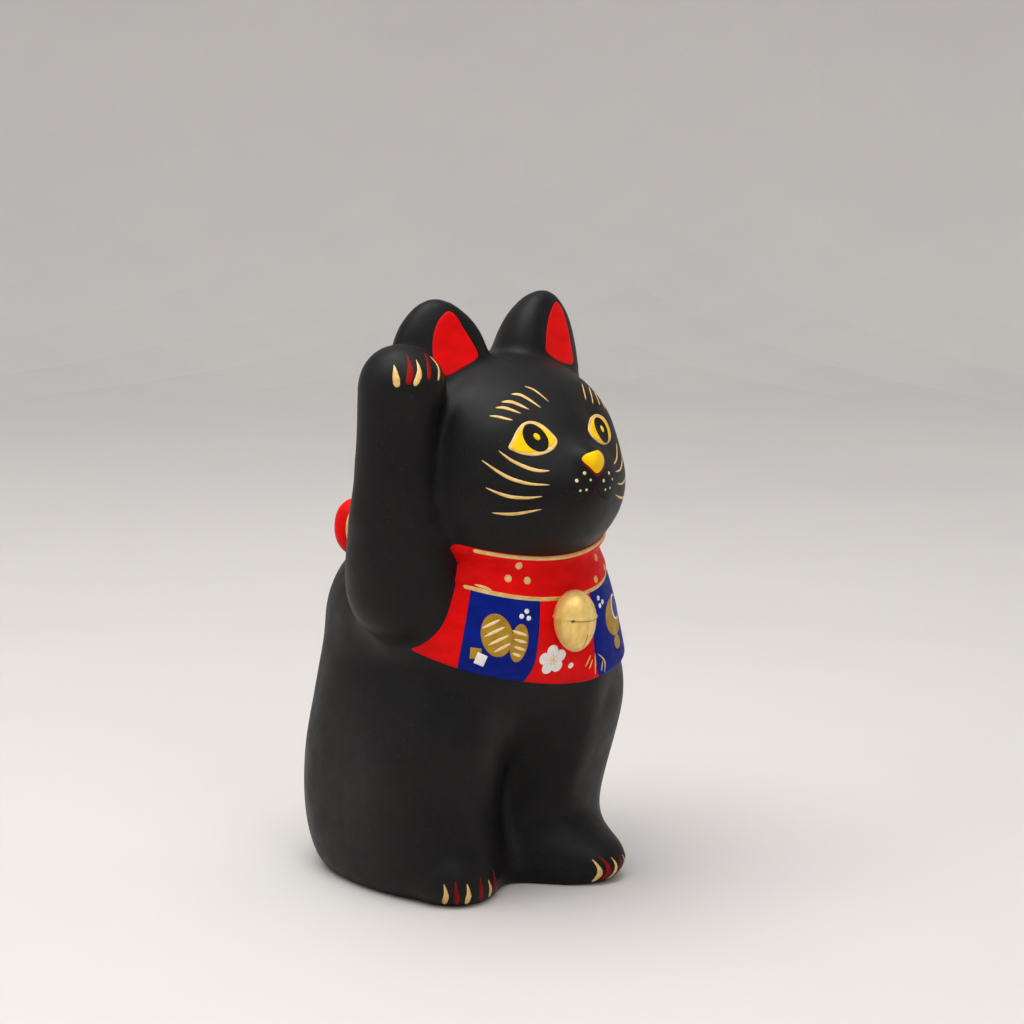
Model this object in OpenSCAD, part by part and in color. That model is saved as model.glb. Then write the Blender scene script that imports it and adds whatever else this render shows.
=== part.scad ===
/* [Clay body] */
// Wall thickness of the slip-cast clay
wall = 4; // [3:0.5:4.5]
// Facets around each cast form
facets = 64; // [56:4:80]

/* [Relief] */
// How far the neck band stands out from the clay
band_rise = 1.7; // [1.2:0.1:2.2]
// How far the bib stands out from the clay
bib_rise = 1.2; // [0.8:0.1:1.5]
// Radius of the bell
bell_r = 7.3; // [6.5:0.1:8]

/* [Coin bank] */
// Length of the coin slot across the back of the head
slot_length = 34; // [30:1:36]
// Height of the coin slot
slot_height = 5; // [4.5:0.5:6]
// Radius of the round opening in the base
opening_r = 16; // [14:0.5:18]

/* [Hidden] */

black_clay = "#232326";
red_paint = "#c80808";
gold_paint = "#c8a550";
cream_rubber = "#d8d4c8";

// Level at which the torso and the head are luted together
neck_z = 116;
// Slip seam between a relief piece and the clay behind it
seam = 0.1;

// Trunk: height, half width, reach to the front, reach to the back, squareness
TRUNK = [
    [0, 42, 30, 42, 2.3],
    [5, 45, 33, 46, 2.3],
    [18, 46.5, 34, 50, 2.3],
    [38, 46, 38, 51, 2.3],
    [60, 44.5, 46, 49, 2.3],
    [78, 43.5, 54, 47, 2.3],
    [94, 43, 56, 45, 2.2],
    [106, 40, 55.5, 39, 2.1],
    [116, 34, 54, 28, 2],
];

// Swellings of the torso: direction, height, spread around, spread up, spread down, amount
SWELLS = [
    [228, 44, 27, 26, 60, 11],
    [318, 56, 25, 26, 50, 8.2],
    [165, 42, 40, 24, 40, 2],
    [15, 42, 40, 24, 40, 2],
    [238, 7, 17, 9, 20, 7],
    [306, 7, 17, 9, 20, 5],
    [287, 50, 13, 42, 42, 3.5],
    [292, 8, 17, 9, 20, 18.5],
];

// Head: height, half width, reach to the front, reach to the back, squareness
SKULL = [
    [116, 34, 54, 28, 2],
    [122, 36.5, 60, 25, 1.95],
    [130, 39, 64, 22, 1.95],
    [140, 40, 65, 18, 1.95],
    [150, 38.5, 62.5, 15, 2],
    [160, 35.5, 58.3, 11, 2.05],
    [168, 31, 50.5, 6, 2.1],
    [174, 24, 42, -1, 2.1],
    [178, 15, 33, -9, 2],
    [179.5, 5, 24, -16, 2],
];
crown_z = 179.5;

// Swellings of the head, in the same form
FACE = [
    [270, 143.5, 20, 12, 15, 6.2],
    [238, 136, 20, 14, 18, 1.5],
    [302, 136, 20, 14, 18, 1.5],
    [247, 158, 10, 8, 9, -1.5],
    [293, 158, 10, 8, 9, -1.5],
];

// Smooth value of column c of table t at height z
function slope(t, i, c) = let (a = max(i - 1, 0), b = min(i + 1, len(t) - 1))
    (t[b][c] - t[a][c]) / (t[b][0] - t[a][0]);
function stretch(t, z, i = 0) = (i >= len(t) - 2 || z <= t[i + 1][0]) ? i : stretch(t, z, i + 1);
function at(t, z, c) = let (i = stretch(t, z), h = t[i + 1][0] - t[i][0], s = (z - t[i][0]) / h)
    t[i][c] * (1 + 2 * s) * pow(1 - s, 2) + t[i + 1][c] * s * s * (3 - 2 * s)
    + h * slope(t, i, c) * s * pow(1 - s, 2) - h * slope(t, i + 1, c) * s * s * (1 - s);

// Sum of the swellings in direction u at height z
function turn(u) = u > 180 ? u - 360 : u < -180 ? u + 360 : u;
function swell(list, u, z) = [for (b = list) let (
    du = turn(u - b[0]) / b[2], dz = (z - b[1]) / (z > b[1] ? b[3] : b[4]))
    b[5] * exp(-du * du - dz * dz)] * [for (b = list) 1];

// Point of a form in direction u at height z, moved out by d
function form_point(t, list, u, z, d) = let (a = at(t, z, 1), f = at(t, z, 2), b = at(t, z, 3),
    e = at(t, z, 4), mid = (b - f) / 2, half = (b + f) / 2,
    r = pow(pow(abs(cos(u)) / a, e) + pow(abs(sin(u)) / half, e), -1 / e) + swell(list, u, z) + d)
    [r * cos(u), mid + r * sin(u), z];
function outline(t, list, z, d, n) = [for (i = [0:n - 1]) form_point(t, list, 360 * i / n, z, d)];
function clay_point(u, z, d) = z < neck_z
    ? form_point(TRUNK, SWELLS, u, z, d)
    : form_point(SKULL, FACE, u, z, d);
function levels(z0, z1, count) = [for (k = [0:count]) z0 + (z1 - z0) * k / count];
function crown_levels(z0, z1, count) = [for (k = [0:count]) z0 + (z1 - z0) * sin(90 * k / count)];

// Closed skin over rings of n points each, capped at both ends or joined round into a loop
module skin(rings, n, loop = false) {
    m = len(rings);
    sides = [for (k = [0:loop ? m - 1 : m - 2], i = [0:n - 1]) each
        let (j = (k + 1) % m, a = k * n + i, b = k * n + (i + 1) % n, c = j * n + i, d = j * n + (i + 1) % n)
        [[a, c, b], [b, c, d]]];
    first = [for (i = [0:n - 1]) i];
    last = [for (i = [0:n - 1]) (m - 1) * n + n - 1 - i];
    polyhedron([for (r = rings) each r], loop ? sides : concat(sides, [first, last]));
}

// Relief laid on the clay: cross-section at direction u between two heights
function relief(u, low, high, rises) = let (m = len(rises) - 1) concat(
    [for (k = [0:m]) clay_point(u, low + (high - low) * k / m, seam)],
    [for (k = [m:-1:0]) clay_point(u, low + (high - low) * k / m, seam + rises[k])]);

module torso_skin(d = 0, z0 = 0, z1 = neck_z, count = 30) {
    skin([for (z = levels(z0, z1, count)) outline(TRUNK, SWELLS, z, d, facets)], facets);
}

module head_skin(d = 0, z0 = neck_z, z1 = crown_z, count = 24) {
    skin([for (z = crown_levels(z0, z1, count)) outline(SKULL, FACE, z, d, facets)], facets);
}

// Base opening, with a shallow recess round it for the stopper's flange
recess_depth = 3;
recess_r = opening_r + 4;
floor_z = recess_depth + wall;
cut = 1;
sliver = 0.01;
hollow_rings = 12;
module torso() {
    color(black_clay) difference() {
        torso_skin();
        torso_skin(-wall, floor_z, neck_z + sliver, hollow_rings);
        translate([0, 0, -cut]) cylinder(h = floor_z + 2 * cut, r = opening_r, $fn = 64);
        translate([0, 0, -cut]) cylinder(h = recess_depth + cut, r = recess_r, $fn = 64);
    }
}

// Ear: height, half width, reach to the front, reach to the back, lean outward
EAR = [
    [160, 18, 13, 21, 0],
    [172, 17.5, 11, 18.5, 0.5],
    [181, 16.5, 9, 16, 1],
    [189, 13.5, 7, 12.5, 1.5],
    [194, 9.5, 5, 9, 2],
    [197.2, 5.5, 3, 5.5, 2.4],
    [198.6, 2, 1, 2, 2.5],
];
function ear_ring(z, d, n) = let (a = at(EAR, z, 1), f = at(EAR, z, 2), b = at(EAR, z, 3), c = at(EAR, z, 4))
    [for (i = [0:n - 1]) let (u = 360 * i / n, reach = sin(u) < 0 ? f : b)
        [c + (a + d) * cos(u), (reach + d) * sin(u), z]];
ear_turn = 18;
ear_place = [20.5, -19, 0];
ear_levels = concat(levels(160, 190, 8), [193, 195.5, 197.4, 198.6]);
ear_facets = 32;
module ear(side, d = 0) {
    mirror([side < 0 ? 1 : 0, 0, 0]) translate(ear_place) rotate([0, 0, ear_turn])
        skin([for (z = ear_levels) ear_ring(z, d, ear_facets)], ear_facets);
}

// Coin slot, cut straight through the back of the head
slot_z = 146;
slot_from_y = -10;
slot_run = 50;
module head() {
    color(black_clay) difference() {
        union() {
            head_skin();
            ear(-1);
            ear(1);
        }
        head_skin(-wall, neck_z - sliver, crown_z - wall, hollow_rings);
        translate([-slot_length / 2, slot_from_y, slot_z]) cube([slot_length, slot_run, slot_height]);
    }
}

// A chain of balls, each row a centre and a radius, with the skin drawn tight between neighbours
module chain(balls, n) {
    for (i = [0:len(balls) - 2])
        hull() for (b = [balls[i], balls[i + 1]]) translate([b[0], b[1], b[2]]) sphere(r = b[3], $fn = n);
}

// Raised arm, from the elbow to the paw, which bends forward at the end
ARM = [
    [-36, -18.5, 106, 20.5],
    [-38.5, -20, 113, 19.3],
    [-41, -21.5, 121, 17.5],
    [-43, -23, 130, 15.6],
    [-44, -24.5, 140, 14.2],
    [-44.5, -25, 150, 13.5],
    [-44.5, -25.5, 160, 13.2],
    [-44.3, -26, 168, 13.6],
    [-44, -26.5, 172.8, 13.6],
    [-42.5, -29.5, 172.5, 12],
];
module raised_arm() {
    color(black_clay) difference() {
        chain(ARM, 32);
        torso_skin(seam);
        head_skin(seam);
        ear(-1, seam);
    }
}

// Tail: lies on the back from the base and curls up towards the left haunch
TAIL = [for (k = [0:9]) concat(clay_point(96 - 6 * k, 9 + 18 * pow(sin(9 * k), 2), 1), 7.5 - 0.25 * k)];
module tail() {
    color(black_clay) difference() {
        chain(TAIL, 24);
        torso_skin(seam);
    }
}

// Neck band: both edges dip at the front and rise towards the back
band_front_u = 272;
band_front_z = 103.5;
band_height = 13.5;
band_climb = 9;
band_steps = 72;
function band_low(u) = band_front_z + band_climb * pow((1 - cos(u - band_front_u)) / 2, 0.8);
module band_form() {
    rises = band_rise * [0.4, 0.9, 1, 0.9, 0.4];
    skin([for (i = [0:band_steps - 1]) let (u = 360 * i / band_steps)
        relief(u, band_low(u), band_low(u) + band_height, rises)], 2 * len(rises), loop = true);
}
module neck_band() {
    color(red_paint) difference() {
        band_form();
        chain(ARM, 32);
    }
}

// Bib: hangs from the band and runs to a point at each side, with a soft fold at its lower left
bib_from = 193;
bib_to = 351;
bib_steps = 50;
bib_front_u = 276;
bib_front_z = 72.5;
fold_u = 303;
fold_spread = 13;
fold_rise = 2.2;
function bib_low(u) = bib_front_z + 0.07 * pow(norm([u - bib_front_u, 6]), 1.25);
function bib_high(u) = min(band_low(u) - seam, bib_low(u) + 1.5 + 1.1 * min(u - bib_from, bib_to - u));
bib_rows = 10;
hem = 0.25;
function bib_fold(u) = fold_rise * exp(-pow((u - fold_u) / fold_spread, 2));
function bib_profile(t, f) = t < hem ? 0.5 + (0.5 + f) * t / hem : 1 + f * pow(1 - (t - hem) / (1 - hem), 2);
module bib_form() {
    skin([for (i = [0:bib_steps]) let (u = bib_from + (bib_to - bib_from) * i / bib_steps, f = bib_fold(u))
        relief(u, bib_low(u), bib_high(u), [for (k = [0:bib_rows]) bib_rise * bib_profile(k / bib_rows, f)])],
        2 * (bib_rows + 1));
}
module bib() {
    color(red_paint) difference() {
        bib_form();
        chain(ARM, 32);
    }
}

// Bell: a jingle bell with a belt round it, flat where it meets the bib
bell_z = 96;
bell_y = -60.9;
bell_back = -58.2;
bell_half_height = 10.2;
belt_rise = 0.6;
belt_angle = 4;
module bell() {
    color(gold_paint) difference() {
        translate([0, bell_y, bell_z]) rotate_extrude($fn = 64) polygon([for (t = [-90:7.5:90])
            [bell_r * cos(t) + (abs(t) < belt_angle ? belt_rise : 0), bell_half_height * sin(t)]]);
        translate([-2 * bell_r, bell_back, bell_z - 2 * bell_r]) cube(4 * bell_r);
    }
}

// Bow at the back of the neck: a knot, two loops and two hanging ends
bow_y = 35;
bow_z = 115;
knot_size = [6, 6, 7];
loop_x = 20;
loop_size = [7, 6, 10];
loop_root_x = 9;
loop_root_size = [3, 4, 5];
end_rise = 2;
end_steps = 12;
module lump(place, size) {
    translate(place) scale(size) sphere(r = 1, $fn = 32);
}
module bow_knot() {
    color(red_paint) difference() {
        lump([0, bow_y, bow_z], knot_size);
        torso_skin(seam + band_rise);
        head_skin(seam + band_rise);
    }
}
module bow_loop(side) {
    color(red_paint) difference() {
        hull() {
            lump([side * loop_x, bow_y - 3, bow_z + 1], loop_size);
            lump([side * loop_root_x, bow_y - 1, bow_z], loop_root_size);
        }
        torso_skin(seam + band_rise);
        head_skin(seam + band_rise);
        lump([0, bow_y, bow_z], knot_size + [seam, seam, seam]);
    }
}
module bow_loop_right() {
    bow_loop(-1);
}
module bow_loop_left() {
    bow_loop(1);
}
// One ring of a hanging end, k steps down from the knot
function end_ring(side, k) = let (z = 111 - 2.2 * k, u = 90 - side * (5 + 0.9 * k), w = 3 + 0.22 * k)
    concat([for (t = [-1:0.5:1]) clay_point(u + w * t, z, seam)],
        [for (t = [1:-0.5:-1]) clay_point(u + w * t, z, seam + end_rise)]);
module bow_end(side) {
    color(red_paint) difference() {
        skin([for (k = [0:end_steps]) end_ring(side, k)], 10);
        lump([0, bow_y, bow_z], knot_size + [seam, seam, seam]);
    }
}
module bow_end_right() {
    bow_end(-1);
}
module bow_end_left() {
    bow_end(1);
}

// Rubber stopper: a flange in the recess, a plug in the opening and a finger hollow underneath
stopper_z = 1;
flange_r = recess_r - 1;
plug_r = opening_r - 0.4;
plug_top = 10.5;
plug_chamfer = 1.2;
finger_r = opening_r - 5;
finger_depth = 2;
module stopper() {
    color(cream_rubber) rotate_extrude($fn = 96) polygon([
        [0, stopper_z + finger_depth],
        [finger_r, stopper_z + finger_depth],
        [finger_r, stopper_z],
        [flange_r, stopper_z],
        [flange_r, recess_depth - seam],
        [plug_r, recess_depth - seam],
        [plug_r, plug_top - plug_chamfer],
        [plug_r - plug_chamfer, plug_top],
        [0, plug_top],
    ]);
}

torso();
head();
raised_arm();
tail();
neck_band();
bib();
bell();
bow_knot();
bow_loop_right();
bow_loop_left();
bow_end_right();
bow_end_left();
stopper();
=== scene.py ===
"""Beckoning cat coin bank, hand painted: the looks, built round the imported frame."""

from __future__ import annotations

import logging
import math
from dataclasses import dataclass
from enum import Enum
from typing import Callable, Sequence

import bmesh
import bpy
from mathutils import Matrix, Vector
from mathutils.bvhtree import BVHTree


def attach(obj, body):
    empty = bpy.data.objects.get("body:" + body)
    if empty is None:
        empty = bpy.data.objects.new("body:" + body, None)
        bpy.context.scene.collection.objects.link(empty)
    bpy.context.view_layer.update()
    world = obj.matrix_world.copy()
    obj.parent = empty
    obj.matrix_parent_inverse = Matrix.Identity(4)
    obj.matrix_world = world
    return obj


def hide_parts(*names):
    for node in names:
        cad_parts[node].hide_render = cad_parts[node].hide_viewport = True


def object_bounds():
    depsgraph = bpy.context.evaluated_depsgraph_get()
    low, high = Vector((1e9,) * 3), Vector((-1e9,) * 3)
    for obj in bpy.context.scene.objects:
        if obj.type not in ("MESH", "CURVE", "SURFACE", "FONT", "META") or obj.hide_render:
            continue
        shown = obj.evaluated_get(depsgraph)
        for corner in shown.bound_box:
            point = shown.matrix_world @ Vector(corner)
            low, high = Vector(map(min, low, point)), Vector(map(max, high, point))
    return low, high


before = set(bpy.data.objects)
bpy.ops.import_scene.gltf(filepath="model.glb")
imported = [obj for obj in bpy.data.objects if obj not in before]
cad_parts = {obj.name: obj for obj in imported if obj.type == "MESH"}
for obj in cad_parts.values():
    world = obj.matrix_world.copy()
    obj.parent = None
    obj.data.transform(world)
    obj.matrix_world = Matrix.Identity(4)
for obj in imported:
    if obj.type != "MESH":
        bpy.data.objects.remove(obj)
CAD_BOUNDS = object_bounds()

log = logging.getLogger("cat")

MM = 0.001
WELD = 2e-6
AXIS_Y = -0.005
GIRTH = 0.9076
FLAT_REACH = 0.2
WRAP_REACH = 0.12
CAT = "cat"
PLUG = "plug"
Point = tuple[float, float]
Colour = tuple[float, float, float]
Place = Callable[[float, float], Sequence[float]]


def srgb(red: int, green: int, blue: int) -> Colour:
    """Turn a colour picked on a screen into a linear one.

    Args:
        red: Red, from 0 to 255.
        green: Green, from 0 to 255.
        blue: Blue, from 0 to 255.

    Returns:
        The linear colour.
    """
    return tuple(
        c / 12.92 if c <= 0.04045 else ((c + 0.055) / 1.055) ** 2.4
        for c in (red / 255, green / 255, blue / 255)
    )


DUST = srgb(150, 146, 140)


class Slot(Enum):
    """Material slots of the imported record."""

    CLAY = "black_clay"
    RED = "red_paint"
    GOLD = "gold_paint"
    RUBBER = "rubber"


class Tip(Enum):
    """How the width of a brush stroke runs from its start to its end."""

    TAPERED = "pointed at both ends"
    LEAF = "pointed at the start, full at the end"
    LINE = "even, with round ends"


@dataclass(frozen=True)
class Finish:
    """One finish of the cat, drawn from Object coordinates."""

    name: str
    slot: Slot
    colour: Colour
    shade: Colour
    patch: float
    roughness: tuple[float, float]
    grain: float
    grain_depth: float
    metallic: float = 0.0
    specular: float = 0.5
    streaks: tuple[float, float, float] = (1.0, 1.0, 1.0)
    specks: float = 0.0

    def material(self) -> bpy.types.Material:
        """Build the material once and hand it out again after that.

        Returns:
            The node material of this finish.
        """
        title = f"{self.name}_finish"
        known = bpy.data.materials.get(title)
        if known:
            return known
        made = bpy.data.materials.new(title)
        made.use_nodes = True
        made.diffuse_color = (*self.colour, 1.0)
        nodes, links = made.node_tree.nodes, made.node_tree.links
        shader = nodes["Principled BSDF"]
        shader.inputs["Metallic"].default_value = self.metallic
        shader.inputs["Specular IOR Level"].default_value = self.specular
        place = nodes.new("ShaderNodeTexCoord").outputs["Object"]
        brushed = nodes.new("ShaderNodeMapping")
        brushed.inputs["Scale"].default_value = self.streaks
        links.new(place, brushed.inputs["Vector"])

        def noise(vector: bpy.types.NodeSocket, size: float, detail: float) -> bpy.types.NodeSocket:
            """Add a noise of one grain size.

            Args:
                vector: Where the noise is read.
                size: Size of one grain in metres.
                detail: How many finer layers it has.

            Returns:
                The noise value.
            """
            node = nodes.new("ShaderNodeTexNoise")
            node.inputs["Scale"].default_value = 1.0 / size
            node.inputs["Detail"].default_value = detail
            node.inputs["Roughness"].default_value = 0.6
            links.new(vector, node.inputs["Vector"])
            return node.outputs["Fac"]

        def ranged(value: bpy.types.NodeSocket, span: Point, result: Point) -> bpy.types.NodeSocket:
            """Stretch a value from one span to another, clamped.

            Args:
                value: The value to stretch.
                span: The span it is read over.
                result: The span it is spread over.

            Returns:
                The stretched value.
            """
            node = nodes.new("ShaderNodeMapRange")
            ends = ("From Min", "From Max", "To Min", "To Max")
            for socket, number in zip(ends, (*span, *result)):
                node.inputs[socket].default_value = number
            links.new(value, node.inputs["Value"])
            return node.outputs["Result"]

        def mixed(share: bpy.types.NodeSocket, first: object, second: Colour) -> bpy.types.NodeSocket:
            """Mix two colours.

            Args:
                share: Share of the second colour.
                first: The first colour, or a socket that gives it.
                second: The second colour.

            Returns:
                The mixed colour.
            """
            node = nodes.new("ShaderNodeMix")
            node.data_type = "RGBA"
            links.new(share, node.inputs["Factor"])
            if isinstance(first, bpy.types.NodeSocket):
                links.new(first, node.inputs[6])
            else:
                node.inputs[6].default_value = (*first, 1.0)
            node.inputs[7].default_value = (*second, 1.0)
            return node.outputs[2]

        patches = noise(brushed.outputs["Vector"], self.patch, 3.0)
        tint = mixed(ranged(patches, (0.35, 0.7), (0.0, 1.0)), self.colour, self.shade)
        if self.specks:
            dust = ranged(noise(place, 0.0009, 1.0), (0.66, 0.74), (0.0, self.specks))
            tint = mixed(dust, tint, DUST)
        links.new(tint, shader.inputs["Base Color"])
        wear = noise(brushed.outputs["Vector"], self.patch * 0.4, 2.0)
        gloss = ranged(wear, (0.3, 0.7), self.roughness)
        links.new(gloss, shader.inputs["Roughness"])
        bump = nodes.new("ShaderNodeBump")
        bump.inputs["Distance"].default_value = self.grain_depth
        bump.inputs["Strength"].default_value = 0.6
        links.new(noise(brushed.outputs["Vector"], self.grain, 3.0), bump.inputs["Height"])
        links.new(bump.outputs["Normal"], shader.inputs["Normal"])
        return made


BLACK_CLAY = Finish(
    "black_clay", Slot.CLAY, srgb(20, 19, 19), srgb(14, 13, 14), 0.02, (0.42, 0.54),
    0.0006, 0.00006, specular=0.17, specks=0.035,
)
RED_PAINT = Finish(
    "red_paint", Slot.RED, srgb(232, 4, 4), srgb(206, 1, 2), 0.012, (0.42, 0.58),
    0.0008, 0.00005, specular=0.1, streaks=(1.0, 1.0, 2.4),
)
DARK_RED = Finish(
    "dark_red_paint", Slot.RED, srgb(150, 14, 12), srgb(104, 6, 6), 0.004, (0.45, 0.6),
    0.0008, 0.00004, specular=0.1,
)
MAROON = Finish(
    "maroon_wash", Slot.RED, srgb(54, 10, 8), srgb(28, 12, 12), 0.003, (0.5, 0.6),
    0.0008, 0.00004, specular=0.1,
)
BLUE_PAINT = Finish(
    "blue_paint", Slot.RED, srgb(0, 30, 134), srgb(0, 20, 108), 0.01, (0.42, 0.58),
    0.0008, 0.00005, specular=0.1, streaks=(1.0, 1.0, 2.0),
)
PURPLE = Finish(
    "purple_paint", Slot.RED, srgb(92, 78, 150), srgb(72, 58, 130), 0.006, (0.42, 0.58),
    0.0008, 0.00004, specular=0.1,
)
GOLD_LINE = Finish(
    "gold_line", Slot.GOLD, srgb(240, 200, 128), srgb(208, 164, 84), 0.003, (0.4, 0.56),
    0.0007, 0.00006, metallic=0.1, streaks=(1.0, 1.0, 2.0),
)
OCHRE = Finish(
    "ochre_gold", Slot.GOLD, srgb(186, 144, 14), srgb(160, 118, 4), 0.004, (0.4, 0.55),
    0.0007, 0.00005, metallic=0.2,
)
BELL_GOLD = Finish(
    "bell_gold", Slot.GOLD, srgb(250, 216, 134), srgb(224, 182, 90), 0.006, (0.34, 0.5),
    0.0009, 0.00007, metallic=0.3, streaks=(2.0, 2.0, 0.8),
)
BELL_SHADE_PAINT = Finish(
    "bell_painted_shade", Slot.GOLD, srgb(112, 82, 30), srgb(80, 56, 18), 0.003, (0.5, 0.62),
    0.0007, 0.00005, metallic=0.1,
)
CREAM = Finish(
    "cream_paint", Slot.GOLD, srgb(250, 222, 178), srgb(238, 204, 150), 0.002, (0.45, 0.6),
    0.0007, 0.00005,
)
WHITE = Finish(
    "white_paint", Slot.GOLD, srgb(246, 242, 240), srgb(230, 224, 222), 0.003, (0.45, 0.6),
    0.0007, 0.00005,
)
YELLOW = Finish(
    "yellow_paint", Slot.GOLD, srgb(252, 206, 0), srgb(246, 184, 0), 0.004, (0.4, 0.55),
    0.0007, 0.00004, specular=0.12,
)
EYE_BLACK = Finish(
    "eye_black", Slot.CLAY, srgb(10, 8, 8), srgb(16, 10, 8), 0.004, (0.4, 0.5),
    0.0007, 0.00003, specular=0.12,
)
RUBBER = Finish(
    "cream_rubber", Slot.RUBBER, srgb(222, 218, 204), srgb(206, 200, 184), 0.009, (0.55, 0.7),
    0.0005, 0.00005, specular=0.4,
)
FLOOR = Finish(
    "pale_floor", Slot.CLAY, srgb(214, 210, 206), srgb(210, 206, 203), 0.3, (0.7, 0.8),
    0.004, 0.00002, specular=0.2,
)


def smooth_through(points: Sequence[Point], t: float, closed: bool = False) -> Vector:
    """Find a point on the smooth curve through some points.

    Args:
        points: The points that the curve passes.
        t: How far along the curve, from 0 to 1.
        closed: Whether the curve runs back to its first point.

    Returns:
        The point on the curve.
    """
    count = len(points)
    spans = count if closed else count - 1
    whole = min(int(t * spans), spans - 1)
    part = t * spans - whole

    def at(index: int) -> Vector:
        """Give the point at an index, wrapped or held at the ends."""
        return Vector(points[index % count if closed else max(0, min(count - 1, index))])

    a, b, c, d = (at(whole + k) for k in (-1, 0, 1, 2))
    square, cube = 2 * a - 5 * b + 4 * c - d, 3 * b - a - 3 * c + d
    return 0.5 * (2 * b + (c - a) * part + square * part**2 + cube * part**3)


def mirrored(points: Sequence[Point]) -> list[Point]:
    """Give the same points on the other side of the middle."""
    return [(-x, y) for x, y in points]


def append(into: bmesh.types.BMesh, part: bmesh.types.BMesh) -> None:
    """Add a bmesh to another one and free it.

    Args:
        into: The bmesh that grows.
        part: The bmesh that is added.
    """
    carrier = bpy.data.meshes.new("carrier")
    part.to_mesh(carrier)
    part.free()
    into.from_mesh(carrier)
    bpy.data.meshes.remove(carrier)


def sponge(bm: bmesh.types.BMesh, spots: Sequence[bmesh.types.BMVert], passes: int) -> None:
    """Smooth part of a skin.

    Args:
        bm: The skin.
        spots: Its points that are smoothed.
        passes: How many times they are smoothed.
    """
    axes = {"use_axis_x": True, "use_axis_y": True, "use_axis_z": True}
    for _ in range(passes):
        bmesh.ops.smooth_vert(bm, verts=spots, factor=0.5, **axes)


def spun(rim: Sequence[Sequence[float]], steps: int, weld: float) -> bmesh.types.BMesh:
    """Turn a profile about the upright axis into a closed form.

    Args:
        rim: Points of the profile, from one end on the axis to the other.
        steps: Faces round the form.
        weld: Points closer together than this become one.

    Returns:
        The form.
    """
    bm = bmesh.new()
    points = [bm.verts.new(point) for point in rim]
    edges = [bm.edges.new(pair) for pair in zip(points, points[1:])]
    bmesh.ops.spin(
        bm, geom=points + edges, axis=(0, 0, 1), cent=(0, 0, 0), dvec=(0, 0, 0),
        angle=2 * math.pi, steps=steps, use_merge=True, use_duplicate=False,
    )
    bmesh.ops.remove_doubles(bm, verts=bm.verts[:], dist=weld)
    return bm


def make_piece(
    name: str, bm: bmesh.types.BMesh, finish: Finish, body: str = CAT, flip: bool = True,
) -> bpy.types.Object:
    """Turn a bmesh into a finished piece that rides on a body.

    Args:
        name: Name of the piece.
        bm: Its mesh, in metres; it is freed.
        finish: What it is painted or made of.
        body: The body that it rides on.
        flip: Whether its normals are worked out again.

    Returns:
        The piece.
    """
    if flip:
        bmesh.ops.recalc_face_normals(bm, faces=bm.faces[:])
    for face in bm.faces:
        face.smooth = True
    mesh = bpy.data.meshes.new(name)
    bm.to_mesh(mesh)
    bm.free()
    piece = bpy.data.objects.new(name, mesh)
    bpy.context.scene.collection.objects.link(piece)
    mesh.materials.append(finish.material())
    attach(piece, body)
    log.info("%s: %d faces, %s", name, len(mesh.polygons), finish.name)
    return piece


class Ground:
    """Surfaces that relief and paint are laid on."""

    def __init__(self, surfaces: Sequence[bpy.types.Object]) -> None:
        """Gather the surfaces.

        Args:
            surfaces: Objects whose meshes lie in place.
        """
        bm = bmesh.new()
        for surface in surfaces:
            bm.from_mesh(surface.data)
        self.tree = BVHTree.FromBMesh(bm)
        bm.free()

    def land(self, start: Vector, along: Vector, lift: float) -> Vector:
        """Drop a point on the surface and lift it off again.

        Args:
            start: Where the point starts, outside.
            along: The direction that it is dropped in.
            lift: How far it stands off the surface, in metres.

        Returns:
            The point in place.
        """
        spot, normal, _, _ = self.tree.ray_cast(start, along)
        if spot is None:
            spot, normal, _, _ = self.tree.find_nearest(start + along * 0.1)
        if normal.dot(along) > 0:
            normal = -normal
        return spot + normal * lift


class Plan(Enum):
    """How a drawing in millimetres is laid on a form."""

    FLAT = "straight onto the front"
    WRAPPED = "round the form, from the middle of its front"

    def ray(self, x: float, y: float) -> tuple[Vector, Vector]:
        """Give the line that a point of the drawing is dropped along.

        Args:
            x: Across the drawing.
            y: Up the drawing.

        Returns:
            The start and the direction of the line.
        """
        if self is Plan.FLAT:
            return Vector((x * MM, -FLAT_REACH, y * MM)), Vector((0, 1, 0))
        turn = math.radians(270 + x / GIRTH)
        out = Vector((math.cos(turn), math.sin(turn), 0))
        return Vector((0, AXIS_Y, 0)) + out * WRAP_REACH + Vector((0, 0, y * MM)), -out


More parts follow.
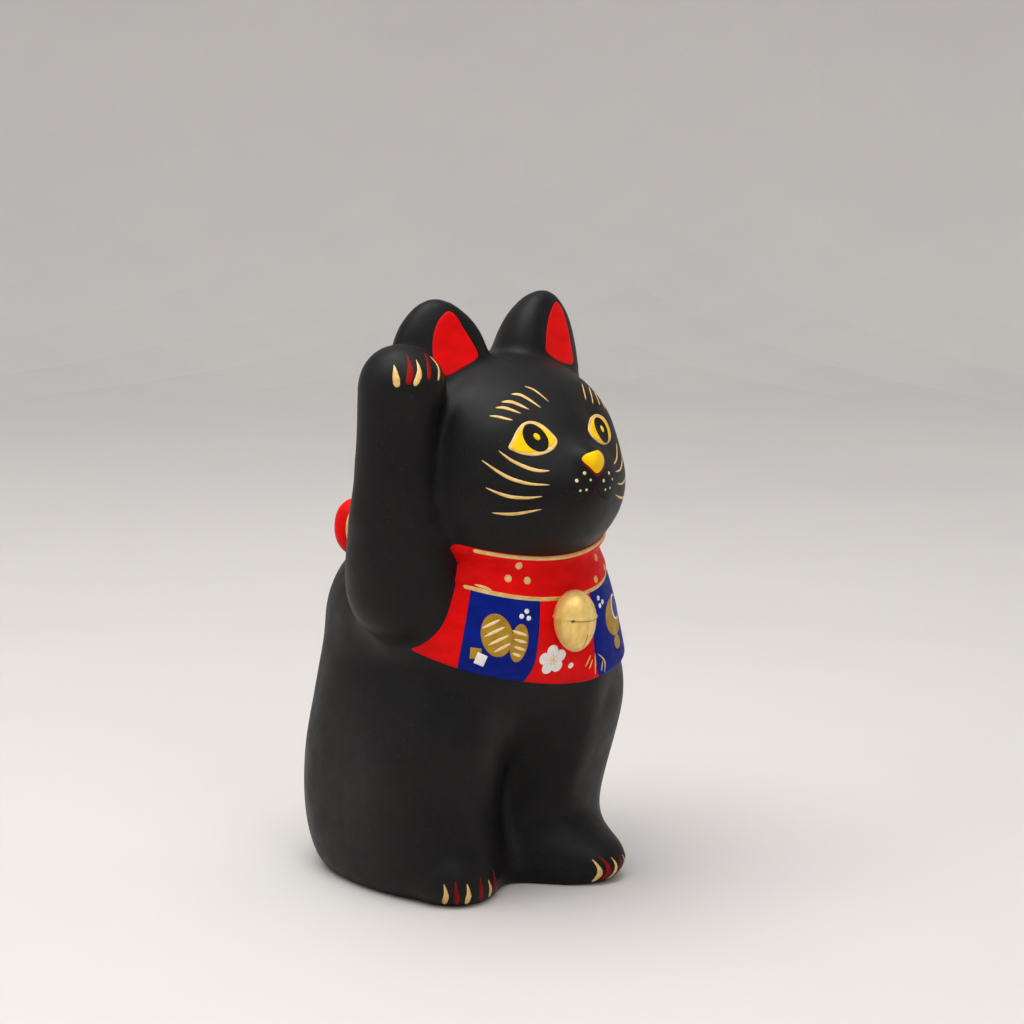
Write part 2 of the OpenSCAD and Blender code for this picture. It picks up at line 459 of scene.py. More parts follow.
class Film:
    """Films and reliefs, shaped flat in millimetres, then laid on the ground."""

    COAT = 0.13
    RIM = 0.2
    STEP = 1.0

    def __init__(self, ground: Ground, plan: Plan, under: float = 0.25) -> None:
        """Start an empty film.

        Args:
            ground: The surface that it is laid on.
            plan: How its drawing is laid on that surface.
            under: How deep its underside lies below its upper side.
        """
        self.ground = ground
        self.plan = plan
        self.under = under
        self.bm = bmesh.new()

    def lay(self, flat: bmesh.types.BMesh, layer: float, seam: bool = False) -> None:
        """Give a flat shape an underside and lay it on the ground.

        Args:
            flat: The shape, its height above the ground as z; it is freed.
            layer: How many coats lie under it.
            seam: Whether its left and right ends meet round the form.
        """
        bmesh.ops.solidify(flat, geom=flat.faces[:], thickness=self.under)
        if seam:
            ends = (min(v.co.x for v in flat.verts), max(v.co.x for v in flat.verts))
            walls = [
                f for f in flat.faces
                if any(all(abs(v.co.x - end) < 1e-3 for v in f.verts) for end in ends)
            ]
            bmesh.ops.delete(flat, geom=walls, context="FACES")
        for v in flat.verts:
            start, along = self.plan.ray(v.co.x, v.co.y)
            v.co = self.ground.land(start, along, (v.co.z + layer * self.COAT) * MM)
        if seam:
            bmesh.ops.remove_doubles(flat, verts=flat.verts[:], dist=WELD)
        append(self.bm, flat)

    def fill(self, outline: Sequence[Point], layer: float = 0, per_point: int = 5) -> None:
        """Lay a closed shape with a soft edge.

        Args:
            outline: Points that its edge passes.
            layer: How many coats lie under it.
            per_point: Edge pieces between two points, or 1 for straight edges.
        """
        count = len(outline) * per_point
        flat = bmesh.new()
        if per_point > 1:
            edge = [smooth_through(outline, k / count, True) for k in range(count)]
        else:
            edge = [Vector(point) for point in outline]
        face = flat.faces.new([flat.verts.new((p.x, p.y, 0.0)) for p in edge])
        face.normal_update()
        if face.normal.z < 0:
            face.normal_flip()
        bmesh.ops.inset_region(
            flat, faces=[face], thickness=self.RIM, use_boundary=True, use_even_offset=True,
        )
        for v in flat.verts:
            v.co.z = 0.0 if v.is_boundary else self.COAT
        bmesh.ops.triangulate(flat, faces=flat.faces[:])
        for axis in (Vector((1, 0, 0)), Vector((0, 1, 0))):
            spots = [v.co.dot(axis) for v in flat.verts]
            cuts = int((max(spots) - min(spots)) / self.STEP)
            for k in range(1, cuts + 1):
                level = min(spots) + k * (max(spots) - min(spots)) / (cuts + 1)
                bmesh.ops.bisect_plane(
                    flat, geom=flat.verts[:] + flat.edges[:] + flat.faces[:], dist=1e-4,
                    plane_co=axis * level, plane_no=axis,
                )
        self.lay(flat, layer)

    def oval(self, centre: Point, half: Point, tilt: float = 0, layer: float = 0, points: int = 12) -> None:
        """Lay an oval.

        Args:
            centre: Its middle.
            half: Half its width and half its height.
            tilt: Its turn in degrees, anticlockwise.
            layer: How many coats lie under it.
            points: Points round its edge.
        """
        turned = math.radians(tilt)
        edge = []
        for k in range(points):
            a = 2 * math.pi * k / points
            x, y = half[0] * math.cos(a), half[1] * math.sin(a)
            edge.append((
                centre[0] + x * math.cos(turned) - y * math.sin(turned),
                centre[1] + x * math.sin(turned) + y * math.cos(turned),
            ))
        self.fill(edge, layer, 3)

    def dots(self, spots: Sequence[Point], radius: float, layer: float = 0) -> None:
        """Lay round dots.

        Args:
            spots: Their middles.
            radius: Their radius.
            layer: How many coats lie under them.
        """
        for spot in spots:
            self.oval(spot, (radius, radius), layer=layer, points=6)

    def stroke(self, points: Sequence[Point], width: float, tip: Tip = Tip.TAPERED, layer: float = 0) -> None:
        """Lay a brush stroke.

        Args:
            points: Points along its middle.
            width: Its full width where it is widest.
            tip: How its width runs.
            layer: How many coats lie under it.
        """
        span = sum((Vector(b) - Vector(a)).length for a, b in zip(points, points[1:]))
        flat = bmesh.new()
        bmesh.ops.create_grid(flat, x_segments=max(12, int(span / 0.8)), y_segments=4, size=1.0)
        for v in flat.verts:
            t, side = (v.co.x + 1) / 2, v.co.y
            here = smooth_through(points, t)
            before, after = (smooth_through(points, min(1.0, max(0.0, t + d))) for d in (-0.01, 0.01))
            ahead = after - before
            across = Vector((-ahead.y, ahead.x)).normalized()
            if tip is Tip.TAPERED:
                share = max(0.1, math.sin(math.pi * t)) ** 0.7
            elif tip is Tip.LEAF:
                share = max(0.12, min(1.0, 1.7 * t) ** 0.9 * math.sqrt(max(0.0, 1 - t**7)))
            else:
                share = math.sqrt(max(0.05, 1 - abs(2 * t - 1) ** max(2.0, 1.5 * span / width)))
            spot = here + across * side * share * width / 2
            v.co = (spot.x, spot.y, self.COAT * (1 - side**4) - 0.03)
        self.lay(flat, layer)

    def sheet(self, place: Place, across: int, up: int, seam: bool = False) -> None:
        """Lay a sheet of relief.

        Args:
            place: Gives x, y and height from the shares across and up the sheet.
            across: Steps across it.
            up: Steps up it, closer together at its edges.
            seam: Whether its left and right ends meet round the form.
        """
        flat = bmesh.new()
        bmesh.ops.create_grid(flat, x_segments=across, y_segments=up, size=1.0)
        for v in flat.verts:
            v.co = place((v.co.x + 1) / 2, 0.5 - 0.5 * math.cos(math.pi * (v.co.y + 1) / 2))
        self.lay(flat, 0, seam)

    def piece(self, name: str, finish: Finish) -> bpy.types.Object:
        """Make the piece.

        Args:
            name: Its name.
            finish: Its paint.

        Returns:
            The piece.
        """
        return make_piece(name, self.bm, finish)


@dataclass(frozen=True)
class Mound:
    """A soft-edged mound or hollow of the clay, by direction in degrees and height in metres."""

    turn: float
    height: float
    half_turn: float
    up: float
    down: float
    amount: float
    edge: float = 0.0

    def push(self, turn: float, z: float) -> float:
        """Give how far the clay is pushed out in a direction at a height.

        Args:
            turn: Direction in degrees.
            z: Height.

        Returns:
            The push, in metres.
        """
        across = ((turn - self.turn + 180) % 360 - 180) / self.half_turn
        rise = (z - self.height) / (self.up if z > self.height else self.down)
        away = math.hypot(across, rise)
        if self.edge:
            return self.amount * 0.5 * (1 - math.tanh((away - 1) / self.edge))
        return self.amount * math.exp(-(away**2))


@dataclass
class Clay:
    """The cast clay: torso, head and raised arm, luted together and sponged smooth."""

    mounds: tuple[Mound, ...] = (
        Mound(204, 48 * MM, 30, 18 * MM, 34 * MM, 1.8 * MM),
        Mound(319, 36 * MM, 27, 35 * MM, 60 * MM, 2.2 * MM, 0.25),
        Mound(190, 80 * MM, 42, 9 * MM, 9 * MM, -2.4 * MM),
        Mound(229, 73 * MM, 12, 10 * MM, 10 * MM, -2.4 * MM),
        Mound(249, 62 * MM, 13, 20 * MM, 22 * MM, -3.2 * MM),
        Mound(230, 2 * MM, 17, 15 * MM, 30 * MM, 1.6 * MM, 0.2),
        Mound(236, 0, 14, 8 * MM, 30 * MM, 3.0 * MM),
        Mound(264, 31 * MM, 19, 28 * MM, 21 * MM, -10.5 * MM),
        Mound(289, 44 * MM, 8, 34 * MM, 30 * MM, 2.0 * MM),
        Mound(290, 0, 13, 7 * MM, 30 * MM, 4.0 * MM),
    )
    elbow_passes: int = 38
    ear_passes: int = 18
    voxel: float = 1.34 * MM
    passes: int = 7
    guarded_passes: int = 2
    ground_voxel: float = 1.5 * MM
    base_radius: float = 0.02
    base_blend: float = 0.008
    mounds_top: float = 0.11
    nose_z: float = 151 * MM
    nose_half: Point = (0.0052, 0.004)
    nose_push: float = 4.0 * MM
    ear_spot: Point = (0.0215, 0.184)
    ear_half: Point = (0.0065, 0.009)
    ear_hollow: float = 1.6 * MM

    @staticmethod
    def guarded(co: Vector) -> bool:
        """Tell whether a point lies by the base opening or the coin slot, whose edges stay crisp."""
        base = co.z < 0.012 and math.hypot(co.x, co.y) < 0.025
        slot = abs(co.x) < 0.021 and 0.142 < co.z < 0.155 and co.y > -0.005
        return base or slot

    @staticmethod
    def by_elbow(co: Vector) -> bool:
        """Tell whether a point lies on the soft outer side of the elbow."""
        return co.x < -0.034 and 0.082 < co.z < 0.128 and co.y > -0.042

    @staticmethod
    def by_ear(co: Vector) -> bool:
        """Tell whether a point lies where the outer side of an ear runs into the head."""
        return abs(co.x) > 0.026 and 0.150 < co.z < 0.172 and co.y > -0.036

    def fused(self, names: Sequence[str], voxel: float, passes: int) -> bmesh.types.BMesh:
        """Join copies of CAD nodes into one even, smooth skin.

        Args:
            names: The nodes.
            voxel: Size of the even faces, in metres.
            passes: How many times it is smoothed.

        Returns:
            The skin.
        """
        raw = bmesh.new()
        for name in names:
            raw.from_mesh(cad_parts[name].data)
        bmesh.ops.remove_doubles(raw, verts=raw.verts[:], dist=WELD)
        mesh = bpy.data.meshes.new("raw_clay")
        raw.to_mesh(mesh)
        raw.free()
        rough = bpy.data.objects.new("raw_clay", mesh)
        bpy.context.scene.collection.objects.link(rough)
        remesh = rough.modifiers.new("even", "REMESH")
        remesh.mode = "VOXEL"
        remesh.voxel_size = voxel
        remesh.use_smooth_shade = True
        settled = rough.evaluated_get(bpy.context.evaluated_depsgraph_get())
        even = bpy.data.meshes.new_from_object(settled)
        bpy.data.objects.remove(rough)
        bm = bmesh.new()
        bm.from_mesh(even)
        bpy.data.meshes.remove(even)
        free = [v for v in bm.verts if not self.guarded(v.co)]
        near = [v for v in bm.verts if self.guarded(v.co)]
        sponge(bm, free, passes)
        sponge(bm, near, self.guarded_passes)
        return bm

    def modelled(self, bm: bmesh.types.BMesh) -> None:
        """Work the mounds, the nose and the ears into the skin and keep it inside the CAD box.

        Args:
            bm: The skin, which is changed.
        """
        low, high = CAD_BOUNDS
        for v in bm.verts:
            co = v.co
            radius = math.hypot(co.x, co.y - AXIS_Y)
            if co.z < self.mounds_top and radius > self.base_radius:
                turn = math.degrees(math.atan2(co.y - AXIS_Y, co.x)) % 360
                share = min(1.0, (radius - self.base_radius) / self.base_blend)
                push = sum(mound.push(turn, co.z) for mound in self.mounds) * share
                co.x += co.x / radius * push
                co.y += (co.y - AXIS_Y) / radius * push
            if co.y < -0.05 and abs(co.x) < 0.02 and co.z > 0.135:
                across, rise = co.x / self.nose_half[0], (co.z - self.nose_z) / self.nose_half[1]
                co.y -= self.nose_push * math.exp(-(across**2) - rise**2)
            if co.z > 0.17 and co.y < -0.02:
                across = (abs(co.x) - self.ear_spot[0]) / self.ear_half[0]
                rise = (co.z - self.ear_spot[1]) / self.ear_half[1]
                co.y += self.ear_hollow * math.exp(-(across**2) - rise**2)
            for axis in range(3):
                co[axis] = min(max(co[axis], low[axis]), high[axis])

    def build(self) -> tuple[bpy.types.Object, bpy.types.Object]:
        """Build the clay.

        Returns:
            The clay, and a trunk without the arm that the relief is laid on and that isn't kept.
        """
        skin = self.fused(("torso", "head", "raised_arm"), self.voxel, self.passes)
        for spot, count in ((self.by_elbow, self.elbow_passes), (self.by_ear, self.ear_passes)):
            sponge(skin, [v for v in skin.verts if spot(v.co)], count)
        self.modelled(skin)
        clay = make_piece("clay_body", skin, BLACK_CLAY, flip=False)
        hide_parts("torso", "head", "raised_arm")
        trunk_skin = self.fused(("torso", "head"), self.ground_voxel, self.passes // 2)
        self.modelled(trunk_skin)
        trunk_mesh = bpy.data.meshes.new("trunk")
        trunk_skin.to_mesh(trunk_mesh)
        trunk_skin.free()
        return clay, bpy.data.objects.new("trunk", trunk_mesh)

    def soft_copy(
        self, node: str, name: str, finish: Finish, voxel: float, passes: int,
        shape: Callable[[Vector], None] | None = None,
    ) -> bpy.types.Object:
        """Build a smoothed stand-in for one CAD node.

        Args:
            node: The node.
            name: Name of the piece.
            finish: Its finish.
            voxel: Size of its even faces.
            passes: How many times it is smoothed.
            shape: Moves each point after that.

        Returns:
            The piece.
        """
        bm = self.fused((node,), voxel, passes)
        if shape:
            for v in bm.verts:
                shape(v.co)
        piece = make_piece(name, bm, finish, flip=False)
        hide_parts(node)
        return piece


@dataclass
class NeckBand:
    """Padded red band round the neck, with gold lines along its edges and gold dots."""

    rise: float = 1.7
    round_over: float = 1.6
    dip_turn: float = 47.0
    line_ends: Point = (-33.0, 238.0)
    line_steps: int = 68
    dot_pitch: float = 17.7

    def dip(self, x: float) -> float:
        """Give how far the band has climbed from its front, from 0 to 1."""
        turn = (x / GIRTH + 180) % 360 - 180
        return 1 - math.exp(-((turn / self.dip_turn) ** 2))

    def low(self, x: float) -> float:
        """Give the height of the lower edge."""
        return 102.3 + 10.2 * self.dip(x)

    def high(self, x: float) -> float:
        """Give the height of the upper edge."""
        return 117.3 + 8.7 * self.dip(x)

    def place(self, s: float, t: float) -> Sequence[float]:
        """Place a point of the band.

        Args:
            s: Share of the way round.
            t: Share of the way up.

        Returns:
            Its x, y and height above the clay.
        """
        x = (s - 0.5) * 360 * GIRTH
        low, high = self.low(x), self.high(x)
        y = low + (high - low) * t
        inside = min(1.0, min(y - low, high - y) / self.round_over)
        return x, y, -0.3 + (self.rise + 0.3) * math.sqrt(1 - (1 - inside) ** 2)

    def build(self, trunk: Ground) -> bpy.types.Object:
        """Build the band.

        Args:
            trunk: The ground that it lies on.

        Returns:
            The band.
        """
        film = Film(trunk, Plan.WRAPPED, 0.8)
        film.sheet(self.place, 260, 18, seam=True)
        band = film.piece("neck_band_red", RED_PAINT)
        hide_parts("neck_band")
        return band

    def paint(self, ground: Ground) -> None:
        """Paint the gold lines and dots.

        Args:
            ground: The ground with the band on it.
        """
        lines = Film(ground, Plan.WRAPPED)
        start, end = self.line_ends
        steps = [start + (end - start) * k / self.line_steps for k in range(self.line_steps + 1)]
        lines.stroke([(x, self.high(x) - 0.9) for x in steps], 1.5, Tip.LINE)
        lines.stroke([(x, self.low(x) + 0.9) for x in [-3.5 + start, *steps]], 1.6, Tip.LINE)
        lines.stroke([(-32.5, 109.1), (-29.5, 108.4), (-26.8, 107.5)], 1.0)
        lines.piece("neck_band_gold_lines", GOLD_LINE)
        dots = Film(ground, Plan.WRAPPED)
        for turn, sink in ((-1, 0), (1, 1.6), (3, 0), (5, 0), (7, 0), (11, 0), (13, 0)):
            middle = self.dot_pitch * turn
            climb = self.low(middle) - self.low(self.dot_pitch) - sink
            first = (middle + 0.5, 114.9 + climb)
            second = (middle - 3.4, 111.0 + climb - 1.6 * sink)
            third = (middle + 3.0 + 3 * sink, 110.1 + climb)
            dots.dots([first, second, third], 1.25)
        dots.piece("neck_band_gold_dots", GOLD_LINE)


@dataclass
class Bib:
    """Red bib with two blue panels, hung from the neck band."""

    band: NeckBand
    rise: float = 1.2
    left: float = -69.9
    right: float = 73.5
    middle: float = 5.4
    round_over: float = 1.3

    def low(self, x: float) -> float:
        """Give the height of the lower edge."""
        turn = (x - self.middle) / GIRTH
        return 72.3 + 0.07 * math.hypot(turn, 6) ** 1.25

    def high(self, x: float) -> float:
        """Give the height of the upper edge, which runs under the band."""
        tip = self.low(x) + 0.6 + 1.15 * min(x - self.left, self.right - x)
        return min(self.band.low(x) + 2.0, tip)

    def height(self, x: float, y: float) -> float:
        """Give how far the bib stands off the clay.

        Args:
            x: Round the body.
            y: Height.

        Returns:
            The distance from the clay.
        """
        low, high = self.low(x), self.high(x)
        inside = min(1.0, max(0.0, y - low) / self.round_over)
        fold = 2.0 * math.exp(-(((x - 29) / 9) ** 2)) * max(0.0, 1 - (y - low) / 30) ** 1.5
        crease = 0.7 * math.exp(-(((x - 11) / 3.5) ** 2)) * max(0.0, 1 - (y - low) / 14)
        return -0.3 + (self.rise + 0.3 + fold + crease) * math.sqrt(1 - (1 - inside) ** 2)

    def place(self, s: float, t: float) -> Sequence[float]:
        """Place a point of the bib.

        Args:
            s: Share of the way across.
            t: Share of the way up.

        Returns:
            Its x, y and height above the clay.
        """
        x = self.left + (self.right - self.left) * s
        y = self.low(x) + (self.high(x) - self.low(x)) * t
        return x, y, self.height(x, y)

    def panel_place(self, side: int) -> Place:
        """Give the placing of one blue panel.

        Args:
            side: -1 for the cat's right, 1 for its left.

        Returns:
            A function like place().
        """

        def place(s: float, t: float) -> Sequence[float]:
            """Place a point of the panel, as place() does for the bib."""
            inner = 10.4 + 1.6 * (1 - t) + 3.4 * max(0.0, 1 - t / 0.35) ** 2
            outer = 33.4 + 5.0 * (1 - t)
            x = side * (inner + (outer - inner) * s)
            y = self.low(x) + (self.band.low(x) + 0.6 - self.low(x)) * t
            return x, y, self.height(x, y) + 0.06

        return place

    def build(self, trunk: Ground) -> list[bpy.types.Object]:
        """Build the bib and its panels.

        Args:
            trunk: The ground that they lie on.

        Returns:
            The bib and the panels.
        """
        film = Film(trunk, Plan.WRAPPED, 0.6)
        film.sheet(self.place, 170, 36)
        bib = film.piece("bib_red", RED_PAINT)
        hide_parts("bib")
        panels = Film(trunk, Plan.WRAPPED, 0.3)
        for side in (-1, 1):
            panels.sheet(self.panel_place(side), 34, 36)
        return [bib, panels.piece("bib_blue_panels", BLUE_PAINT)]

    def paint(self, ground: Ground) -> None:
        """Paint the charms on the bib.

        Args:
            ground: The ground with the bib and its panels on it.
        """
        coins = Film(ground, Plan.WRAPPED)
        coins.oval((-17.9, 89.8), (3.1, 6.5), -7)
        coins.oval((-25.4, 92.8), (5.2, 7.3), 12, layer=1)
        coins.fill([(-34.0, 89.0), (-30.3, 88.6), (-30.6, 85.0), (-34.4, 85.2)], per_point=1)
        coins.oval((24.5, 92.5), (6.6, 6.2), -12)
        coins.oval((25.0, 84.0), (2.4, 2.4))
        coins.stroke([(24.8, 88.0), (25.0, 84.5)], 1.6, Tip.LINE)
        coins.piece("bib_gold_charms", OCHRE)
        marks = Film(ground, Plan.WRAPPED)
        for width, layer, lines in (
            (1.15, 2, (
                [(-30.2, 95.3), (-24.3, 98.0)], [(-29.4, 92.6), (-22.8, 95.6)],
                [(-28.2, 89.8), (-21.5, 92.8)], [(-26.3, 87.4), (-20.8, 90.1)],
            )),
            (1.1, 1, (
                [(-20.3, 94.2), (-15.3, 92.3)], [(-19.6, 91.3), (-15.4, 89.9)],
                [(-19.6, 88.8), (-15.7, 87.3)], [(-20.2, 86.7), (-17.2, 85.4)],
            )),
        ):
            for line in lines:
                marks.stroke(line, width, layer=layer)
        marks.piece("bib_cream_marks", CREAM)
        inset = Film(ground, Plan.WRAPPED)
        inset.oval((27.6, 95.2), (3.3, 3.6), -12, layer=2)
        inset.piece("bib_purple_inset", PURPLE)
        white = Film(ground, Plan.WRAPPED)
        white.oval((27.6, 95.2), (3.9, 4.2), -12, layer=1)
        white.fill([(-31.6, 87.5), (-28.3, 86.0), (-29.8, 82.4), (-33.0, 83.8)], 1, per_point=1)
        white.dots(
            [(-15.3, 100.2), (-17.1, 98.7), (-14.7, 97.9), (14.7, 100.6), (17.1, 98.9), (15.2, 98.0)], 0.85,
        )
        white.dots([(2.6, 79.8)], 1.05)
        middle, petals = Vector((-5.1, 82.8)), 5
        for k in range(petals):
            turn = math.radians(95 + 360 * k / petals)
            spot = middle + Vector((math.cos(turn), math.sin(turn))) * 3.1
            white.oval(tuple(spot), (2.1, 2.1), layer=0.2 * k)
        white.oval(tuple(middle), (1.8, 1.8), layer=1)
        white.piece("bib_white_blossom", WHITE)
        gold = Film(ground, Plan.WRAPPED)
        gold.dots([tuple(middle)], 0.7, layer=2)
        for k in range(9):
            turn = math.radians(12 + 40 * k)
            ray = Vector((math.cos(turn), math.sin(turn)))
            gold.stroke([tuple(middle + ray * 0.8), tuple(middle + ray * 1.9)], 0.42, Tip.LINE, 2)
        for needle in (
            ((8.2, 78.6), (9.8, 82.4)), ((9.6, 77.6), (10.6, 80.8)), ((12.4, 75.4), (11.4, 82.8)),
            ((12.7, 82.4), (16.2, 79.2), (16.6, 75.4)), ((15.0, 76.0), (15.2, 79.6)),
        ):
            gold.stroke(needle, 0.6)
        gold.piece("bib_gold_stamens_and_needles", GOLD_LINE)


@dataclass
class Bell:
    """Gold jingle bell with a belt; painted shade runs under the belt, and two small holes and a slit are
    dark paint standing in for the shade inside them.
    """

    centre: tuple[float, float, float] = (0.0, -60.9, 96.0)
    radius: float = 6.9
    half_height: float = 10.2
    belt_z: float = 1.6
    belt_depth: float = 0.35
    belt_half: float = 0.62
    cap_step: float = 0.18
    rings: int = 56

    def build(self) -> None:
        """Build the bell."""
        rim = []
        for k in range(self.rings + 1):
            a = math.pi * (k / self.rings - 0.5)
            z = self.half_height * math.sin(a)
            swell = 1 + 0.05 * math.sin(a) - 0.03 * math.sin(a) ** 2
            belt = self.belt_depth * math.exp(-(((z - self.belt_z) / self.belt_half) ** 4))
            step = self.cap_step if z > self.belt_z else 0.0
            radius = self.radius * math.cos(a) * swell + belt + step * math.cos(a)
            rim.append((max(0.0, radius), 0, z))
        bm = spun(rim, 72, 1e-3)
        for v in bm.verts:
            v.co = (v.co + Vector(self.centre)) * MM
        bell = make_piece("bell_gold", bm, BELL_GOLD)
        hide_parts("bell")
        ground = Ground([bell])
        # Painted shade: a dark line under the belt's step, and dark dots and a stroke where the holes and the
        # slit would be in shadow.
        dark = Film(ground, Plan.FLAT)
        x, _, z = self.centre
        dark.stroke([(x - 6.5, z + 1.6), (x - 3, z + 1.2), (x + 1, z + 1.1), (x + 6.5, z + 1.6)], 0.35)
        dark.stroke([(x, z - 3.2), (x, z - 5.5), (x, z - 8.6)], 0.55, Tip.TAPERED, -0.5)
        dark.dots([(x - 5.2, z + 1.4), (x + 5.2, z + 1.4)], 0.5)
        dark.piece("bell_painted_shade_lines", BELL_SHADE_PAINT)


@dataclass
class Face:
    """Painted face: eyes, nose, mouth, brows, whiskers and ear linings."""

    iris: Point = (-13.7, 157.0)
    left_iris: Point = (14.6, 156.6)

    def build(self, ground: Ground) -> None:
        """Paint the face.

        Args:
            ground: The clay.
        """
        rim, whites, irises, glints = (Film(ground, Plan.FLAT) for _ in range(4))
        outer = [
            (-22.3, 154.2), (-20.6, 156.6), (-18.2, 159.4), (-15.6, 161.2), (-12.9, 161.8),
            (-10.4, 161.0), (-8.7, 158.9), (-7.7, 156.0), (-9.6, 153.6), (-12.2, 152.2),
            (-15.4, 151.5), (-18.6, 151.9), (-21.0, 153.0),
        ]
        inner = [
            (-21.3, 154.3), (-19.8, 156.5), (-17.7, 158.8), (-15.2, 160.3), (-12.9, 160.8),
            (-10.9, 160.1), (-9.3, 158.4), (-8.4, 156.0), (-10.2, 154.3), (-12.6, 153.2),
            (-15.4, 152.6), (-18.4, 152.5), (-20.4, 153.2),
        ]
        left_outer = [
            (6.0, 157.6), (8.2, 159.4), (11.6, 160.8), (15.8, 161.2), (19.2, 160.0), (20.6, 157.8),
            (20.8, 155.4), (19.8, 153.4), (16.9, 152.3), (12.6, 152.4), (8.8, 153.6), (6.4, 155.4),
        ]
        left_inner = [
            (6.8, 157.3), (8.9, 158.7), (12.0, 159.9), (15.6, 160.3), (18.5, 159.3), (19.8, 157.5),
            (20.0, 155.5), (19.1, 153.9), (16.6, 153.0), (12.8, 153.1), (9.3, 154.2), (7.2, 155.7),
        ]
        for shape, core, (x, z), size in (
            (outer, inner, self.iris, (3.5, 4.15)),
            (left_outer, left_inner, self.left_iris, (3.9, 3.9)),
        ):
            rim.fill(shape)
            whites.fill(core, 1)
            irises.oval((x, z - 0.2), size, layer=2)
            glints.oval((x + 0.6, z), (0.9, 1.05), layer=3)
        rim.piece("eyes_gold_rims", GOLD_LINE)
        whites.piece("eyes_yellow", YELLOW)
        irises.piece("eyes_black_irises", EYE_BLACK)
        glints.piece("eyes_yellow_glints", YELLOW)
        self.build_muzzle(ground)
        self.build_strokes(ground)
        self.build_ears(ground)

    def build_muzzle(self, ground: Ground) -> None:
        """Paint the nose, the mouth and the whisker spots.

        Args:
            ground: The clay.
        """
        nose = Film(ground, Plan.FLAT)
        nose.fill([
            (-4.0, 150.0), (-2.8, 151.6), (-0.2, 152.3), (3.0, 152.3), (5.6, 151.5), (6.8, 149.7),
            (4.6, 147.4), (0.7, 145.6), (-2.0, 147.7),
        ], 1)
        nose.piece("nose_yellow", YELLOW)
        under = Film(ground, Plan.FLAT)
        under.fill([
            (-3.9, 149.2), (0.5, 150), (7.0, 149.2), (6.4, 147.6), (3.6, 145.7), (0.8, 144.5),
            (-0.9, 145.9), (-3.2, 148.0),
        ])
        under.piece("nose_dark_red_edge", DARK_RED)
        mouth = Film(ground, Plan.FLAT)
        line = [(0, 144.6), (-0.2, 142), (-1.6, 139.6), (-3.4, 137.7), (-6.2, 136.6), (-8.9, 136.0)]
        mouth.stroke(line, 1.0)
        mouth.stroke(mirrored(line), 1.0)
        mouth.piece("mouth_line", MAROON)
        spots = Film(ground, Plan.FLAT)
        spots.dots([(-3.8, 146.0), (-6.6, 143.8), (3.9, 142.8), (7.8, 144.6)], 0.58)
        spots.dots(
            [(-1.9, 143.7), (-5.7, 140.6), (-3.6, 140.7), (9.4, 142.4), (7.6, 139.9), (4.7, 139.8)], 0.42,
        )
        spots.piece("whisker_spots", CREAM)

    def build_strokes(self, ground: Ground) -> None:
        """Paint the brows and the whiskers.

        Args:
            ground: The clay.
        """
        brows = (
            ([(-7.8, 171.5), (-5.8, 170.6), (-4.5, 168.9), (-3.5, 166.9)], 0.8),
            ([(-13.9, 169.6), (-11.4, 169.3), (-9.4, 167.7), (-7.5, 165.4)], 1.15),
            ([(-18.4, 167.5), (-15.7, 167.5), (-13.6, 166.5), (-11.5, 165.1)], 1.2),
            ([(-21.0, 165.9), (-18.8, 165.9), (-16.9, 165.2), (-14.7, 164.1)], 1.1),
            ([(-23.8, 163.6), (-21.9, 163.4), (-20.0, 162.8), (-18.2, 162.3)], 0.9),
        )
        whiskers = (
            ([(-24.9, 153.2), (-22.4, 150.3), (-18.8, 148.0), (-15.9, 147.1), (-13.4, 147.1)], 1.3),
            ([(-29.2, 150.2), (-26.4, 146.9), (-23.6, 144.7), (-19.4, 143.2), (-14.4, 142.8)], 1.25),
            ([(-29.6, 141.8), (-26.9, 140.1), (-24.2, 139.1), (-20.3, 138.8), (-16.6, 139.2)], 1.2),
            ([(-28.2, 133.8), (-25.7, 133.5), (-22.9, 133.6), (-20.0, 134.2), (-16.5, 135.0)], 1.2),
        )
        left_brows = (
            ([(18.6, 169.8), (16.4, 168.2), (14.0, 165.7)], 0.55),
            ([(22.8, 168.3), (20.0, 166.9), (16.7, 164.2)], 0.6),
            ([(25.2, 166.4), (23.2, 165.4), (21.0, 163.3)], 0.55),
            ([(28.0, 164.0), (26.2, 163.2), (24.4, 161.6)], 0.6),
        )
        left_whiskers = (
            ([(23.0, 151.0), (21.5, 149.3), (19.3, 147.5), (16.6, 146.6), (14.1, 146.3)], 0.9),
            ([(28.6, 149.0), (25.6, 146.3), (22.5, 144.7), (18.5, 143.6), (13.5, 144.0)], 0.95),
            ([(29.6, 141.6), (24.5, 139.6), (18.8, 139.1), (14.0, 140.2)], 0.9),
            ([(28.2, 133.4), (24.4, 133.4), (20.6, 134.0), (16.5, 135.2), (12.6, 136.7)], 0.95),
        )
        sets = (("brow_strokes", brows + left_brows), ("whisker_strokes", whiskers + left_whiskers))
        for name, strokes in sets:
            film = Film(ground, Plan.FLAT)
            for points, width in strokes:
                film.stroke(points, width)
            film.piece(name, GOLD_LINE)

    def build_ears(self, ground: Ground) -> None:
        """Paint the red linings of the ears.

        Args:
            ground: The clay.
        """
        lining = Film(ground, Plan.FLAT)
        lining.fill([
            (-21.4, 194.8), (-25.0, 192.6), (-27.4, 189.0), (-28.9, 184.4), (-29.6, 179.0),
            (-29.2, 175.2), (-25.4, 174.9), (-20.0, 177.0), (-14.6, 179.4), (-13.6, 181.4),
            (-15.2, 185.2), (-17.4, 189.6), (-19.0, 193.2),
        ])
        lining.fill([
            (24.9, 194.6), (20.8, 191.4), (17.9, 186.6), (16.2, 182.2), (15.6, 179.4), (19.0, 176.6),
            (24.4, 174.6), (29.0, 174.4), (29.6, 179.4), (29.5, 185.0), (28.7, 190.0), (27.4, 193.6),
        ])
        lining.piece("ear_linings_red", RED_PAINT)


